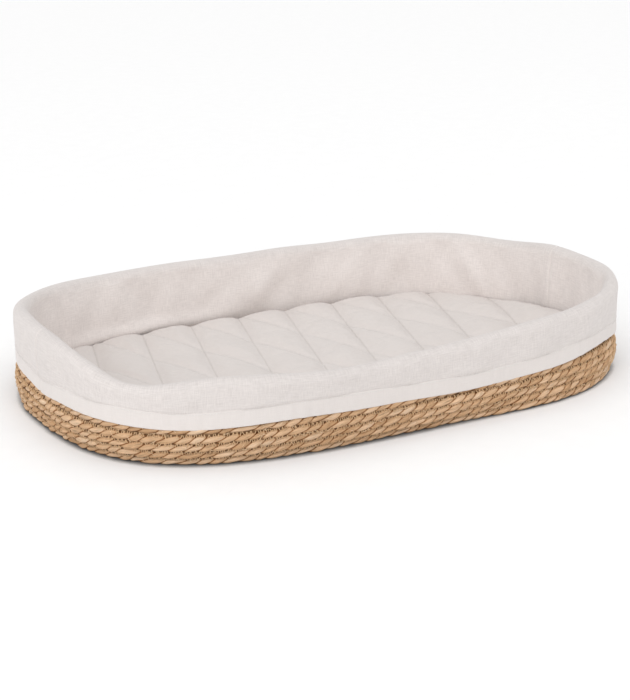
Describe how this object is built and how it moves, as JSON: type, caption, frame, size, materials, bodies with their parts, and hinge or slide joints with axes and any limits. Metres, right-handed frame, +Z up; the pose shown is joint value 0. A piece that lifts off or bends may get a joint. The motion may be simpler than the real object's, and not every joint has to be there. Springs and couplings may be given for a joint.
{
  "type": "moses basket",
  "caption": "Low oval coiled seagrass basket with a lift-off linen liner rolled over its rim and a quilted mattress pad.",
  "frame": {"origin": "centre of the footprint, on the surface that the basket stands on", "axes": "+X along the basket, +Y across it towards the long side away from a person at the front, +Z up"},
  "size_m": [0.7866, 0.5006, 0.108],
  "materials": {
    "seagrass_rope": "dry twisted seagrass, matte with a faint straw sheen",
    "sewing_thread": "matte tan sewing thread",
    "linen_cloth": "soft off-white linen and cotton weave",
    "elastic": "woven elastic tape",
    "white_thread": "matte off-white thread",
    "cotton_cover": "smooth off-white quilted cotton",
    "wadding": "polyester wadding"
  },
  "bodies": {
    "basket": {"base_core": "seagrass_rope", "base_turn_01": "seagrass_rope", "base_turn_02": "seagrass_rope", "base_turn_03": "seagrass_rope", "base_turn_04": "seagrass_rope", "base_turn_05": "seagrass_rope", "base_turn_06": "seagrass_rope", "base_turn_07": "seagrass_rope", "base_turn_08": "seagrass_rope", "base_turn_09": "seagrass_rope", "base_turn_10": "seagrass_rope", "base_turn_11": "seagrass_rope", "base_turn_12": "seagrass_rope", "base_turn_13": "seagrass_rope", "base_turn_14": "seagrass_rope", "base_turn_15": "seagrass_rope", "base_turn_16": "seagrass_rope", "base_turn_17": "seagrass_rope", "base_turn_18": "seagrass_rope", "base_turn_19": "seagrass_rope", "base_turn_20": "seagrass_rope", "base_turn_21": "seagrass_rope", "base_turn_22": "seagrass_rope", "base_turn_23": "seagrass_rope", "base_turn_24": "seagrass_rope", "wall_course_01": "seagrass_rope", "wall_course_02": "seagrass_rope", "wall_course_03": "seagrass_rope", "wall_course_04": "seagrass_rope", "wall_course_05": "seagrass_rope", "wall_course_06": "seagrass_rope", "wall_course_07": "seagrass_rope", "wall_course_08": "seagrass_rope", "wall_course_09": "seagrass_rope", "wall_course_10": "seagrass_rope", "wall_course_11": "seagrass_rope", "base_stitching": "sewing_thread", "wall_stitching": "sewing_thread"},
    "liner": {"liner_front_panel": "linen_cloth", "liner_back_panel": "linen_cloth", "liner_hem_band": "linen_cloth", "liner_hem_elastic": "elastic", "liner_skirt_hem": "linen_cloth", "liner_stitching": "white_thread"},
    "mattress": {"mattress_bottom_cover": "cotton_cover", "mattress_wadding": "wadding", "mattress_top_cover": "cotton_cover", "mattress_quilting": "white_thread"}
  },
  "joints": [
    {"name": "liner_lift", "type": "slide", "parent": "basket", "child": "liner", "axis": [0, 0, 1], "range_m": [0, 0.13]},
    {"name": "mattress_lift", "type": "slide", "parent": "basket", "child": "mattress", "axis": [0, 0, 1], "range_m": [0, 0.26]}
  ]
}
